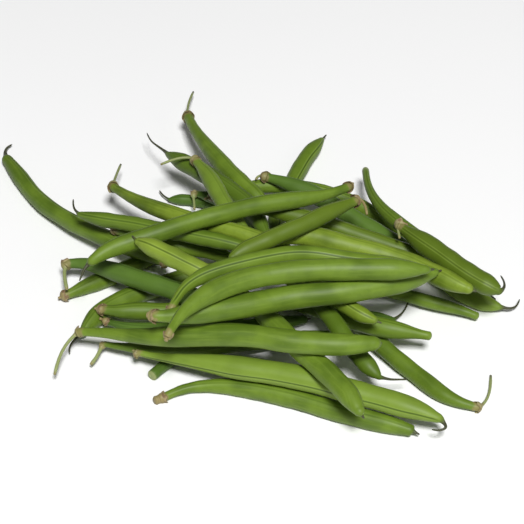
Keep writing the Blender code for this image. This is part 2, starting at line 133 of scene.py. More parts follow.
# Each skin's fourth colour is the seam's darker line, partly painted shade, and its fifth the painted
# highlight beside it
SKINS: dict[Tone, SkinFinish] = {
    Tone.BRIGHT: SkinFinish(
        "skin_bright", (0.185, 0.265, 0.022), (0.250, 0.345, 0.045), (0.090, 0.143, 0.009),
        (0.060, 0.100, 0.005), (0.300, 0.400, 0.070),
    ),
    Tone.MID: SkinFinish(
        "skin_mid", (0.130, 0.208, 0.017), (0.190, 0.282, 0.034), (0.076, 0.132, 0.009),
        (0.040, 0.078, 0.004), (0.240, 0.340, 0.055),
    ),
    Tone.DARK: SkinFinish(
        "skin_dark", (0.068, 0.138, 0.012), (0.105, 0.185, 0.028), (0.040, 0.088, 0.007),
        (0.022, 0.054, 0.006), (0.140, 0.225, 0.050),
    ),
}
CAPS: dict[CapStyle, CapFinish] = {
    CapStyle.LEAFY: CapFinish("cap_leafy", (0.330, 0.290, 0.140), (0.210, 0.140, 0.065)),
    CapStyle.HUSK: CapFinish("cap_husk", (0.300, 0.235, 0.115), (0.160, 0.098, 0.044)),
    CapStyle.CUT: CapFinish("cut_end", (0.330, 0.400, 0.150), (0.210, 0.260, 0.090)),
}


@dataclass(frozen=True)
class Rise:
    """A smooth rise over a value, from nothing to a share.

    Attributes:
        start: the value where it is 0.
        end: the value where it is full.
        share: how much it is where it is full.
    """

    start: float
    end: float
    share: float = 1.0


class NodeKit:
    """A small helper that wires one material's nodes."""

    def __init__(self, name: str) -> None:
        """Makes a material with a bare Principled shader.

        Args:
            name: the material's name.
        """
        self.material = bpy.data.materials.new(name)
        self.material.use_nodes = True
        self.tree = self.material.node_tree
        self.shader = self.tree.nodes["Principled BSDF"]

    def node(self, kind: str, **values: object) -> bpy.types.Node:
        """Adds a node and sets its properties.

        Args:
            kind: the node's type.
            values: properties of the node.

        Returns:
            The node.
        """
        made = self.tree.nodes.new(kind)
        for key, value in values.items():
            setattr(made, key, value)
        return made

    def join(self, source: bpy.types.NodeSocket, target: bpy.types.NodeSocket) -> None:
        """Links an output to an input."""
        self.tree.links.new(source, target)

    def attribute(self, name: str) -> bpy.types.NodeSocket:
        """The value of a mesh attribute.

        Args:
            name: the attribute's name.

        Returns:
            Its factor output.
        """
        return self.node("ShaderNodeAttribute", attribute_name=name).outputs["Fac"]

    def number(self, operation: str, first: object, second: object = 0.0) -> bpy.types.NodeSocket:
        """A Math node on sockets or plain numbers.

        Args:
            operation: the Math operation.
            first: a socket or a number.
            second: a socket or a number.

        Returns:
            The result.
        """
        made = self.node("ShaderNodeMath", operation=operation)
        for slot, value in zip(made.inputs, (first, second)):
            if isinstance(value, bpy.types.NodeSocket):
                self.join(value, slot)
            else:
                slot.default_value = value
        return made.outputs[0]

    def times(self, first: object, second: object) -> bpy.types.NodeSocket:
        """The product of two sockets or plain numbers."""
        return self.number("MULTIPLY", first, second)

    def ramp(self, source: bpy.types.NodeSocket, rise: Rise) -> bpy.types.NodeSocket:
        """A smooth rise over a value.

        Args:
            source: the value that is mapped.
            rise: where it is 0, where it is full and how much it is there.

        Returns:
            The mapped value.
        """
        made = self.node("ShaderNodeMapRange", interpolation_type="SMOOTHSTEP")
        self.join(source, made.inputs["Value"])
        made.inputs["From Min"].default_value = rise.start
        made.inputs["From Max"].default_value = rise.end
        result = made.outputs["Result"]
        return result if rise.share == 1.0 else self.times(result, rise.share)

    def noise(self, vector: bpy.types.NodeSocket, scale: float, detail: float) -> bpy.types.NodeSocket:
        """A noise value.

        Args:
            vector: the coordinates.
            scale: the noise's scale on them.
            detail: how many finer layers it has.

        Returns:
            The noise, about 0.5 on average.
        """
        made = self.node("ShaderNodeTexNoise")
        self.join(vector, made.inputs["Vector"])
        made.inputs["Scale"].default_value = scale
        made.inputs["Detail"].default_value = detail
        return made.outputs["Fac"]

    def mix(self, share: bpy.types.NodeSocket, first: object, second: object) -> bpy.types.NodeSocket:
        """A colour between two.

        Args:
            share: how much of the second colour shows.
            first: a socket or a colour.
            second: a socket or a colour.

        Returns:
            The mixed colour.
        """
        made = self.node("ShaderNodeMix", data_type="RGBA")
        self.join(share, made.inputs[0])
        for slot, value in zip((made.inputs[6], made.inputs[7]), (first, second)):
            if isinstance(value, bpy.types.NodeSocket):
                self.join(value, slot)
            else:
                slot.default_value = (*value, 1.0)
        return made.outputs[2]

    def bump(self, height: bpy.types.NodeSocket, depth: float, strength: float) -> None:
        """Gives the shader a bump.

        Args:
            height: the height from 0 to 1.
            depth: how deep that is, in metres.
            strength: how strongly it shows.
        """
        made = self.node("ShaderNodeBump")
        made.inputs["Strength"].default_value = strength
        made.inputs["Distance"].default_value = depth
        self.join(height, made.inputs["Height"])
        self.join(made.outputs["Normal"], self.shader.inputs["Normal"])


class PodSkin:
    """The skin of a bean, from its stalk to its tail, as one procedural material.

    Places on a bean are in millimetres: along it from the pod's start, ahead to the pod's end, and
    round it from a seam.
    """

    # The streaks' steps for a millimetre along, a millimetre round and a whole tint
    STREAK_STEPS = (0.05, 0.55, 31.0)

    # Scale and detail of each noise
    STREAK_NOISE = (1.3, 3.0)
    PATCH_NOISE = (70.0, 2.0)
    SPOT_NOISE = (330.0, 2.0)
    FINE_NOISE = (900.0, 3.0)

    # Where the noises and the tint change the pod's colour
    PATCHES = Rise(0.28, 0.60)
    SPOTS = Rise(0.52, 0.38, 0.22)
    STREAKS = Rise(0.45, 0.78, 0.38)
    PALER = Rise(0.0, 1.0, 0.55)
    DEEPER = Rise(0.0, -1.3)
    SPECKLES = Rise(0.60, 0.80, 0.12)

    # Where the seams begin and end, then the painted highlights on their ridges, the darker line in
    # their hollow, partly the seam's own colour and partly painted shade, and the fainter back seam
    SEAM_START = Rise(0.0, 5.0)
    SEAM_END = Rise(-1.0, 3.0)
    RIDGE_HIGHLIGHT_NEAR = Rise(0.20, 0.50)
    RIDGE_HIGHLIGHT_FAR = Rise(0.95, 0.60)
    RIDGE_HIGHLIGHT_SHARE = 0.35
    GROOVE = Rise(0.50, 0.12)
    GROOVE_SHARE = 0.80
    BACK_SHARE = 0.35

    # The pale neck, the stalk and its dry tip, the ragged crown under the cap, and the tail
    NECK = Rise(5.0, -1.0, 0.35)
    STALK = Rise(0.3, -1.0)
    STALK_TIP = Rise(1.6, 0.2, 0.75)
    CROWN_RAGGED = -4.0
    CROWN_POD_SIDE = Rise(0.2, -1.2)
    CROWN_STALK_SIDE = Rise(-2.6, -1.7)
    CROWN_SHARE = 0.75
    TAIL = Rise(0.8, -2.2)

    # Roughness under and over the finish's own, gloss, and the bump's shares, depth and strength
    SMOOTHER = 0.05
    ROUGHER = 0.14
    SPECULAR = 0.30
    STREAK_HEIGHT = 0.8
    FINE_HEIGHT = 0.2
    BUMP_DEPTH = 0.08
    BUMP_STRENGTH = 0.25

    def __init__(self, finish: SkinFinish) -> None:
        """Builds the material.

        Args:
            finish: the colours to use.
        """
        self.finish = finish
        self.kit = kit = NodeKit(finish.name)
        self.along, self.ahead = kit.attribute("along"), kit.attribute("to_end")
        self.seam, self.tint = kit.attribute("seam_arc"), kit.attribute("tint")
        self.place = kit.node("ShaderNodeTexCoord").outputs["Object"]
        self.streaks = self._streaks()
        self.spots = kit.noise(self.place, *self.SPOT_NOISE)
        self.fine = kit.noise(self.place, *self.FINE_NOISE)
        self._paint()
        self._surface()

    @property
    def material(self) -> bpy.types.Material:
        """The finished material."""
        return self.kit.material

    def _streaks(self) -> bpy.types.NodeSocket:
        """A noise that is drawn out along the bean and differs from tint to tint.

        Returns:
            The noise.
        """
        kit = self.kit
        grain = kit.node("ShaderNodeCombineXYZ")
        for axis, value in enumerate((self.along, self.seam, self.tint)):
            kit.join(kit.times(value, self.STREAK_STEPS[axis]), grain.inputs[axis])
        return kit.noise(grain.outputs[0], *self.STREAK_NOISE)

    def _paint(self) -> None:
        """Wires the colour, from the pod's body to its seams and ends."""
        kit, finish = self.kit, self.finish
        patches = kit.noise(self.place, *self.PATCH_NOISE)
        skin = kit.mix(kit.ramp(patches, self.PATCHES), finish.deep, finish.body)
        skin = kit.mix(kit.ramp(self.spots, self.SPOTS), skin, finish.deep)
        skin = kit.mix(kit.ramp(self.streaks, self.STREAKS), skin, finish.light)
        skin = kit.mix(kit.ramp(self.tint, self.PALER), skin, finish.light)
        skin = kit.mix(kit.ramp(self.tint, self.DEEPER), skin, finish.deep)
        skin = self._ends(self._seams(skin))
        skin = kit.mix(kit.ramp(self.fine, self.SPECKLES), skin, finish.light)
        kit.join(skin, kit.shader.inputs["Base Color"])

    def _seams(self, skin: bpy.types.NodeSocket) -> bpy.types.NodeSocket:
        """Lays both seams over the skin: painted highlights beside each, and a darker line along each
        that is partly its own colour and partly painted shade.

        Args:
            skin: the colour so far.

        Returns:
            The colour with each seam's darker line and painted highlights.
        """
        kit, finish = self.kit, self.finish
        pod_only = kit.times(kit.ramp(self.along, self.SEAM_START), kit.ramp(self.ahead, self.SEAM_END))
        clear = kit.times(kit.attribute("seam_show"), pod_only)
        for arc, share in ((self.seam, 1.0), (kit.attribute("back_arc"), self.BACK_SHARE)):
            shown = kit.times(clear, share)
            # Painted highlights on the ridges beside the seam
            ridge_highlight = kit.times(kit.ramp(arc, self.RIDGE_HIGHLIGHT_NEAR), kit.ramp(arc, self.RIDGE_HIGHLIGHT_FAR))
            skin = kit.mix(kit.times(ridge_highlight, kit.times(shown, self.RIDGE_HIGHLIGHT_SHARE)), skin, finish.ridge_highlight)
            # The darker line along the seam, partly its own colour and partly painted shade in its
            # hollow
            groove_line_and_shade = kit.times(kit.ramp(arc, self.GROOVE), shown)
            skin = kit.mix(kit.times(groove_line_and_shade, self.GROOVE_SHARE), skin, finish.groove_line_and_shade)
        return skin

    def _ends(self, skin: bpy.types.NodeSocket) -> bpy.types.NodeSocket:
        """Lays the neck, the stalk, the crown and the tail over the skin.

        Args:
            skin: the colour so far.

        Returns:
            The colour with both ends.
        """
        kit, finish = self.kit, self.finish
        skin = kit.mix(kit.ramp(self.along, self.NECK), skin, finish.light)
        stalk = kit.mix(kit.attribute("dry"), finish.stalk, finish.husk)
        skin = kit.mix(kit.ramp(self.along, self.STALK), skin, stalk)
        skin = kit.mix(kit.ramp(kit.attribute("from_tip"), self.STALK_TIP), skin, finish.husk)
        ragged = kit.number("ADD", self.along, kit.times(self.spots, self.CROWN_RAGGED))
        pod_side = kit.ramp(ragged, self.CROWN_POD_SIDE)
        crown = kit.times(pod_side, kit.ramp(self.along, self.CROWN_STALK_SIDE))
        crown = kit.times(crown, kit.attribute("capped"))
        skin = kit.mix(kit.times(crown, self.CROWN_SHARE), skin, finish.husk)
        return kit.mix(kit.ramp(self.ahead, self.TAIL), skin, finish.tail)

    def _surface(self) -> None:
        """Wires roughness and bump, and sets the gloss."""
        kit, rough = self.kit, self.kit.node("ShaderNodeMapRange")
        kit.join(self.streaks, rough.inputs["Value"])
        rough.inputs["To Min"].default_value = self.finish.roughness - self.SMOOTHER
        rough.inputs["To Max"].default_value = self.finish.roughness + self.ROUGHER
        kit.join(rough.outputs["Result"], kit.shader.inputs["Roughness"])
        streaks = kit.times(self.streaks, self.STREAK_HEIGHT)
        height = kit.number("ADD", streaks, kit.times(self.fine, self.FINE_HEIGHT))
        kit.bump(height, sized(self.BUMP_DEPTH), self.BUMP_STRENGTH)
        kit.shader.inputs["Specular IOR Level"].default_value = self.SPECULAR


class CapSkin:
    """The dry, papery surface of a cap or of a cut end."""

    # Scale and detail of the noises, where the blotches show, and the fibres' bump
    BLOTCH_NOISE = (600.0, 3.0)
    FIBRE_NOISE = (2200.0, 2.0)
    BLOTCHES = Rise(0.38, 0.62)
    FIBRE_DEPTH = 0.15
    FIBRE_STRENGTH = 0.6

    def __init__(self, finish: CapFinish) -> None:
        """Builds the material.

        Args:
            finish: the colours to use.
        """
        kit = NodeKit(finish.name)
        place = kit.node("ShaderNodeTexCoord").outputs["Object"]
        blotch = kit.noise(place, *self.BLOTCH_NOISE)
        fibre = kit.noise(place, *self.FIBRE_NOISE)
        colour = kit.mix(kit.ramp(blotch, self.BLOTCHES), finish.edge, finish.body)
        kit.join(colour, kit.shader.inputs["Base Color"])
        kit.shader.inputs["Roughness"].default_value = finish.roughness
        kit.bump(fibre, sized(self.FIBRE_DEPTH), self.FIBRE_STRENGTH)
        self.material = kit.material


@dataclass
class RingRow:
    """The rings of one packed bean, from the stalk's free end to the tail's.

    Attributes:
        centres: the middles of the rings, metres.
        radii: their half widths, metres.
        seams: unit directions from each middle to the seam.
    """

    centres: np.ndarray
    radii: np.ndarray
    seams: np.ndarray


class RingReader:
    """Finds the rings that a packed bean was built from, in a copy of its mesh."""

    # Corners of a ring, rings of a bean, the weld in metres, and how alike a flat patch's normals are
    SIDES = 8
    RINGS = 24
    WELD = 2e-6
    FLAT = 0.8

    def __init__(self, node: bpy.types.Object) -> None:
        """Copies and welds the node's mesh.

        Args:
            node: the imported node, which isn't changed.
        """
        self.name = node.name
        self.copy = bmesh.new()
        self.copy.from_mesh(node.data)
        bmesh.ops.remove_doubles(self.copy, verts=self.copy.verts, dist=self.WELD)
        self.copy.normal_update()

    def read(self) -> RingRow:
        """Reads the rings.

        Returns:
            The rings, from the stalk's free end to the tail's.
        """
        rings = self._rings()
        points = [np.array([corner.co for corner in ring]) for ring in rings]
        if self._spread(points[0]) < self._spread(points[-1]):
            points.reverse()
        self.copy.free()
        points = self._strands(points)
        centres = np.array([ring.mean(axis=0) for ring in points])
        reach = np.array([np.linalg.norm(ring - ring.mean(axis=0), axis=1) for ring in points])
        share = (reach / reach.max(axis=1)[:, None]).mean(axis=0)
        first = int(share.argmax())
        seams = np.array([ring[first] - ring.mean(axis=0) for ring in points])
        seams /= np.linalg.norm(seams, axis=1)[:, None]
        return RingRow(centres, reach.max(axis=1), seams)

    @staticmethod
    def _spread(ring: np.ndarray) -> float:
        """The mean distance of a ring's corners from its middle."""
        return float(np.linalg.norm(ring - ring.mean(axis=0), axis=1).mean())

    def _rings(self) -> list[list[bmesh.types.BMVert]]:
        """Walks the mesh from an end face, ring by ring.

        Returns:
            The rings' corners.
        """
        for face in self.copy.faces:
            start = self._flat_patch(face)
            if len(start) != self.SIDES:
                continue
            rings = self._walk(start)
            if len(rings) >= self.RINGS and all(len(ring) == self.SIDES for ring in rings):
                return rings
        raise ValueError(f"{self.name} has no end face to start from")

    def _flat_patch(self, face: bmesh.types.BMFace) -> set[bmesh.types.BMVert]:
        """Spreads from a face over the neighbours that lie in its plane.

        Args:
            face: the face to start from.

        Returns:
            The corners of the flat patch.
        """
        patch, edge = {face}, [face]
        while edge:
            for side in edge.pop().edges:
                for other in side.link_faces:
                    if other not in patch and other.normal.dot(face.normal) > self.FLAT:
                        patch.add(other)
                        edge.append(other)
        return {corner for part in patch for corner in part.verts}

    def _walk(self, start: set[bmesh.types.BMVert]) -> list[list[bmesh.types.BMVert]]:
        """Steps from a first ring to its neighbours until none are left.

        Args:
            start: the first ring's corners.

        Returns:
            The rings, each in the mesh's own order.
        """
        seen, ring, rings = set(start), set(start), []
        while ring:
            rings.append(sorted(ring, key=lambda corner: corner.index))
            ring = {edge.other_vert(corner) for corner in ring for edge in corner.link_edges} - seen
            seen |= ring
        return rings

    def _strands(self, points: list[np.ndarray]) -> list[np.ndarray]:
        """Orders each ring's corners so that a place in the order runs along the bean.

        Args:
            points: the rings' corners in any order.

        Returns:
            The same corners in a matching order.
        """
        ordered = [points[-1]]
        for ring in reversed(points[:-1]):
            last = ordered[-1] - ordered[-1].mean(axis=0)
            last = last / np.linalg.norm(last, axis=1)[:, None]
            ways = ring - ring.mean(axis=0)
            ways = ways / np.linalg.norm(ways, axis=1)[:, None]
            ordered.append(ring[(last @ ways.T).argmax(axis=1)])
        return ordered[::-1]


class Route:
    """A smooth line through the rings, with half widths and seam directions at every step."""

    # Rings of the stalk and the pod, and the steps from ring to ring. They make 101 steps in all,
    # because subdivide cuts an edge 100 times at most
    STALK_RINGS = 5
    POD_RINGS = 15
    STALK_STEPS = 3
    POD_STEPS = 5
    TAIL_STEPS = 4

    # Passes that even the line out, and how steeply a width may change beside its gentler neighbour
    EVENING = 2
    STEEPEST = 2.5

    def __init__(self, row: RingRow) -> None:
        """Samples the smooth line.

        Args:
            row: the rings to pass through.
        """
        steps = np.linalg.norm(np.diff(row.centres, axis=0), axis=1)
        known = np.concatenate([[0.0], np.cumsum(steps)])
        counts = [self.STALK_STEPS] * self.STALK_RINGS
        counts += [self.POD_STEPS] * (self.POD_RINGS - 1)
        counts += [self.TAIL_STEPS] * (len(known) - 1 - len(counts))
        samples = [
            np.linspace(known[place], known[place + 1], count, endpoint=False)
            for place, count in enumerate(counts)
        ]
        self.along = np.concatenate([*samples, [known[-1]]])
        self.pod_start = known[self.STALK_RINGS]
        self.pod_end = known[self.STALK_RINGS + self.POD_RINGS - 1]
        self.points = self._curve(known, row.centres, False)
        for _ in range(self.EVENING):
            self.points[1:-1] = (self.points[:-2] + 2 * self.points[1:-1] + self.points[2:]) / 4
        self.radii = self._curve(known, row.radii[:, None], True)[:, 0]
        self._turn(self._curve(known, row.seams, False))

    def _curve(self, known: np.ndarray, values: np.ndarray, kept: bool) -> np.ndarray:
        """Values between the rings on smooth cubic runs.

        Args:
            known: distances of the rings.
            values: a row of values for each ring.
            kept: whether the result stays between its neighbours.

        Returns:
            A row of values for each sample.
        """
        gaps = np.diff(known)[:, None]
        rises = np.diff(values, axis=0) / gaps
        slopes = np.vstack([rises[:1], rises, rises[-1:]])[: len(values)]
        inner = (rises[:-1] * gaps[1:] + rises[1:] * gaps[:-1]) / (gaps[:-1] + gaps[1:])
        if kept:
            same = rises[:-1] * rises[1:] > 0
            bound = self.STEEPEST * np.minimum(abs(rises[:-1]), abs(rises[1:]))
            inner = np.where(same, np.clip(inner, -bound, bound), 0.0)
        slopes[1:-1] = inner
        slopes[-1] = rises[-1]
        part = np.clip(np.searchsorted(known, self.along, side="right") - 1, 0, len(known) - 2)
        gap = gaps[part]
        share = ((self.along - known[part])[:, None]) / gap
        square, cube = share**2, share**3
        return (
            (2 * cube - 3 * square + 1) * values[part]
            + (cube - 2 * square + share) * gap * slopes[part]
            + (3 * square - 2 * cube) * values[part + 1]
            + (cube - square) * gap * slopes[part + 1]
        )

    def _turn(self, seams: np.ndarray) -> None:
        """Sets the run, seam and side directions at every step.

        Args:
            seams: rough directions towards the seam.
        """
        run = np.gradient(self.points, axis=0)
        self.runs = run / np.linalg.norm(run, axis=1)[:, None]
        seams = seams - self.runs * (seams * self.runs).sum(axis=1)[:, None]
        self.seams = seams / np.linalg.norm(seams, axis=1)[:, None]
        self.sides = np.cross(self.runs, self.seams)


@dataclass
class CapMould:
    """The ragged cap, shaped once in units of a neck's half width and copied to each bean.

    Attributes:
        side_corners: how many corners of the rim belong to each sepal.
        base: the half width of the cup's bottom, where the stalk comes out.
        collar: its half width above that.
        flare: how far the rim stands out.
        depth: the cup's depth, before its steps share it out.
        climbs: each step's height, as a share of the depth.
        point: how far a sepal's point reaches past the rim.
        sharpness: the power that narrows a sepal.
        notch: how far the rim is cut back between the sepals.
        lean: how far a sepal's point leans out, as a share of its distance from the middle.
        thickness: the sepals' thickness.
    """

    side_corners: int = 4
    base: float = 0.38
    collar: float = 1.05
    flare: float = 1.24
    depth: float = 0.85
    climbs: tuple[float, float, float] = (0.30, 0.45, 0.30)
    point: float = 0.75
    sharpness: float = 1.6
    notch: float = 0.25
    lean: float = 0.10
    thickness: float = 0.10

    def build(self) -> bpy.types.Object:
        """Shapes the cap about the +Z axis, its stalk side at the origin.

        Returns:
            The cap as a mesh object, which isn't rendered itself.
        """
        bpy.ops.object.select_all(action="DESELECT")
        bpy.ops.mesh.primitive_circle_add(
            vertices=SEPALS * self.side_corners, radius=self.base, fill_type="NGON"
        )
        cap = bpy.context.object
        cap.name = "cap_mould"
        bpy.ops.object.mode_set(mode="EDIT")
        bpy.ops.mesh.select_all(action="SELECT")
        for reach, climb in zip((self.collar / self.base, self.flare / self.collar, 1.0), self.climbs):
            bpy.ops.mesh.extrude_region_move(
                TRANSFORM_OT_translate={"value": (0.0, 0.0, climb * self.depth)}
            )
            bpy.ops.transform.resize(value=(reach, reach, 1.0))
        bpy.ops.mesh.delete(type="ONLY_FACE")
        bpy.ops.object.mode_set(mode="OBJECT")
        self._point_sepals(cap)
        self._finish(cap)
        return cap

    def _point_sepals(self, cap: bpy.types.Object) -> None:
        """Draws the rim out into sepals.

        Args:
            cap: the open cup.
        """
        rim = max(corner.co.z for corner in cap.data.vertices) - 1e-4
        for corner in cap.data.vertices:
            angle = math.atan2(corner.co.y, corner.co.x)
            lobe = 0.5 + 0.5 * math.cos(SEPALS * angle)
            if corner.co.z > rim:
                corner.co.z += self.point * lobe**self.sharpness - self.notch
                corner.co.x *= 1.0 + self.lean * lobe
                corner.co.y *= 1.0 + self.lean * lobe

    def _finish(self, cap: bpy.types.Object) -> None:
        """Thickens and rounds the cap.

        Args:
            cap: the cup with its sepals.
        """
        shell = cap.modifiers.new("thickness", "SOLIDIFY")
        shell.thickness = self.thickness
        shell.offset = 1.0
        bpy.ops.object.modifier_apply(modifier=shell.name)
        rounded = cap.modifiers.new("rounding", "SUBSURF")
        rounded.levels = 1
        bpy.ops.object.modifier_apply(modifier=rounded.name)
        bpy.ops.object.mode_set(mode="EDIT")
        bpy.ops.mesh.select_all(action="SELECT")
        bpy.ops.mesh.normals_make_consistent(inside=False)
        bpy.ops.object.mode_set(mode="OBJECT")
        bpy.ops.object.shade_smooth()
        cap.hide_render = True


@dataclass
class Bean:
    """One fresh bean of the heap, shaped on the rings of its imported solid.

    Attributes:
        number: the bean's number, from the bottom of the heap.
        tone: which green it is.
        cap: how its stalk end looks.
        tint: under 0 for deeper than its tone, down to -1.3, and over 0 for paler, up to 1.
        seam: how strongly its seams stand out, from 0 to 1.
        swell: how far the seeds stand out on its flanks, millimetres.
        seed_gap: the distance between seeds, in half widths.
        cap_size: the cap's size, 1 where nothing is close to it.
        girth: the share of its packed width, under 1 where it lies tight against another.
    """

    number: int
    tone: Tone = Tone.MID
    cap: CapStyle = CapStyle.HUSK
    tint: float = 0.0
    seam: float = 0.5
    swell: float = 0.17
    seed_gap: float = 2.7
    cap_size: float = 1.0
    girth: float = 1.0

    # The corners of one side, from the seam to the back seam, degrees
    ANGLES = (0, 4, 7.5, 11, 15, 20, 27, 37, 51, 66, 82, 98, 114, 130, 145, 157, 166, 172, 176, 180)

    # Half a unit of the straight rod, which tells upright edges from rings and middles from rims
    HALF = 0.5

    # The run over which the pod's section sets in after the neck and ends at the tip, millimetres
    NECK_RUN = 4.0
    TIP_RUN = 3.0

    # The section in half widths: off the pod, on the pod, how oval it is, how it leans to the seam
    ROUND = 0.97
    POD_ROUND = 0.969
    OVAL = 0.019
    LEAN = 0.0075

    # A seam's ridges and groove in millimetres, and the back seam's share of them
    RIDGE_HEIGHT = 0.05
    RIDGE_PLACE = 0.62
    RIDGE_WIDTH = 0.30
    GROOVE_DEPTH = 0.10
    GROOVE_WIDTH = 0.26
    BACK_SHARE = 0.35

    # Seeds: the ends they keep clear of in half widths, their scatter and length in gaps, their
    # sizes, and the hollow between them
    SEED_START = 3.2
    SEED_END = 2.5
    SEED_SCATTER = 0.16
    SEED_LENGTH = 0.34
    SEED_SIZES = (0.5, 1.1)
    SEED_HOLLOW = 0.3

    # The share of its width that a cut face, a stalk's tip and a tail's tip keep at the rim
    CUT_RIM = 0.92
    STALK_RIM = 0.72
    TAIL_RIM = 0.6

    # A cut end: the millimetres that keep the dry tip's colour off it, and the cut face's reach
    CUT_OFFSET = 9.0
    CUT_REACH = 1.3

    # The cap: millimetres behind and past the pod's start, then the sepals' foot and raggedness
    CAP_BEHIND = 1.5
    CAP_NECK = 0.5
    SEPAL_FOOT = 0.8
    SEPAL_RAGGED = (0.75, 1.35)

    @property
    def name(self) -> str:
        """The bean's name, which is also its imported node's."""
        return f"bean_{self.number:02d}"

    def build(
        self, mould: bpy.types.Object, skins: dict[Tone, PodSkin], caps: dict[CapStyle, CapSkin]
    ) -> bpy.types.Object:
        """Shapes and dresses the bean.

        Args:
            mould: the cap that is copied.
            skins: the skin materials by tone.
            caps: the cap materials by style.

        Returns:
            The finished piece.
        """
        self.random = np.random.default_rng(1000 + self.number)
        self.route = Route(RingReader(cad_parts[self.name]).read())
        piece = self._blank()
        self._bend(piece)
        piece.data.materials.append(skins[self.tone].material)
        piece.data.materials.append(caps[self.cap].material)
        if self.cap is CapStyle.CUT:
            self._paint_cut(piece)
        else:
            self._add_cap(piece, mould)
        piece.name = piece.data.name = self.name + "_fresh"
        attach(piece, "root")
        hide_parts(self.name)
        log.info("%s: %d faces", piece.name, len(piece.data.polygons))
        return piece

    def _turns(self) -> np.ndarray:
        """The angles from the seam of the corners of one ring, all the way round, in radians."""
        half = np.radians(self.ANGLES)
        return np.concatenate([half, math.tau - half[-2:0:-1]])

    def _blank(self) -> bpy.types.Object:
        """A straight rod with a ring of corners for each step of the route.

        Returns:
            The rod, one unit high for each step, with closed ends.
        """
        steps = len(self.route.points)
        around = len(self._turns())
        bpy.ops.object.select_all(action="DESELECT")
        bpy.ops.mesh.primitive_cylinder_add(
            vertices=around, radius=1.0, depth=steps - 1, end_fill_type="TRIFAN",
            location=(0.0, 0.0, (steps - 1) / 2),
        )
        rod = bpy.context.object
        bpy.ops.object.transform_apply(location=True, rotation=False, scale=False)
        bpy.ops.object.mode_set(mode="EDIT")
        bpy.ops.mesh.select_mode(type="EDGE")
        bpy.ops.mesh.select_all(action="DESELECT")
        bpy.ops.object.mode_set(mode="OBJECT")
        for edge in rod.data.edges:
            first, second = (rod.data.vertices[corner].co for corner in edge.vertices)
            edge.select = abs(first.z - second.z) > self.HALF
        bpy.ops.object.mode_set(mode="EDIT")
        bpy.ops.mesh.subdivide(number_cuts=steps - 2)
        bpy.ops.object.mode_set(mode="OBJECT")
        bpy.ops.object.shade_smooth()
        return rod

    def _bend(self, rod: bpy.types.Object) -> None:
        """Moves the rod's corners to the bean's skin and notes where on the skin each one is.

        Args:
            rod: the straight rod.
        """
        route, turns = self.route, self._turns()
        straight = np.empty(len(rod.data.vertices) * 3)
        rod.data.vertices.foreach_get("co", straight)
        straight = straight.reshape(-1, 3)
        step = np.clip(np.round(straight[:, 2]).astype(int), 0, len(route.points) - 1)
        # The rod's corners stand half a place round from the axis
        ways = np.round(np.arctan2(straight[:, 1], straight[:, 0]) / math.tau * len(turns) - self.HALF)
        turn = turns[ways.astype(int) % len(turns)]
        middle = np.hypot(straight[:, 0], straight[:, 1]) < self.HALF
        wide = self._section(step, turn)
        skin = (
            route.points[step]
            + (wide * np.cos(turn))[:, None] * route.seams[step]
            + (wide * np.sin(turn))[:, None] * route.sides[step]
        )
        skin[middle] = route.points[step[middle]]
        self._round_ends(skin, step, middle)
        skin[:, 2] = np.maximum(skin[:, 2], 0.0)
        rod.data.vertices.foreach_set("co", skin.ravel())
        fold = np.minimum(turn, math.tau - turn)
        cut = self.cap is CapStyle.CUT
        notes = {
            "seam_arc": fold * route.radii[step] / MM,
            "back_arc": (math.pi - fold) * route.radii[step] / MM,
            "along": (route.along[step] - route.pod_start) / MM,
            "to_end": (route.pod_end - route.along[step]) / MM,
            "from_tip": (route.along[step] + sized(self.CUT_OFFSET) * cut) / MM,
            "tint": np.full(len(step), self.tint),
            # How strongly the seams' painted highlights and darker line show
            "seam_show": np.full(len(step), self.seam),
            "dry": np.full(len(step), float(self.cap is CapStyle.HUSK)),
            "capped": np.full(len(step), float(not cut)),
        }
        for note, values in notes.items():
            held = rod.data.attributes.new(note, "FLOAT", "POINT")
            held.data.foreach_set("value", values.astype(np.float32))
        rod.data.update()

    def _section(self, step: np.ndarray, turn: np.ndarray) -> np.ndarray:
        """The distance from the middle line to the skin.

        Args:
            step: the step of each corner.
            turn: the angle of each corner from the seam.

        Returns:
            The distances, metres.
        """
        route = self.route
        along, radius = route.along[step], route.radii[step] * self.girth
        pod = self._rise(along, route.pod_start, route.pod_start + sized(self.NECK_RUN))
        pod *= self._rise(-along, -route.pod_end, sized(self.TIP_RUN) - route.pod_end)
        full = self.POD_ROUND + self.OVAL * np.cos(2 * turn) + self.LEAN * np.cos(turn)
        wide = radius * (self.ROUND + (full - self.ROUND) * pod)
        fold = np.minimum(turn, math.tau - turn)
        for arc, depth in ((fold, self.seam), ((math.pi - fold), self.BACK_SHARE * self.seam)):
            off = arc * radius / MM
            relief = self.RIDGE_HEIGHT * np.exp(-(((off - self.RIDGE_PLACE) / self.RIDGE_WIDTH) ** 2))
            relief = relief - self.GROOVE_DEPTH * np.exp(-((off / self.GROOVE_WIDTH) ** 2))
            wide += sized(depth) * relief * pod
        wide += sized(self.swell) * self._seeds(along) * np.sin(turn) ** 2 * pod
        return wide

    def _seeds(self, along: np.ndarray) -> np.ndarray:
        """How much a seed swells the pod at each distance.

        Args:
            along: distances along the bean.

        Returns:
            From a little under 0 between seeds to 1 over a seed.
        """
        route = self.route
        full = float(np.median(route.radii))
        gap = self.seed_gap * full
        first = route.pod_start + self.SEED_START * full
        count = max(1, int((route.pod_end - self.SEED_END * full - first) / gap))
        scatter = self.random.uniform(-self.SEED_SCATTER, self.SEED_SCATTER, count)
        seeds = first + gap * (np.arange(count) + scatter)
        sizes = self.random.uniform(*self.SEED_SIZES, count)
        bumps = sizes * np.exp(-(((along[:, None] - seeds) / (self.SEED_LENGTH * gap)) ** 2))
        return bumps.sum(axis=1) - self.SEED_HOLLOW

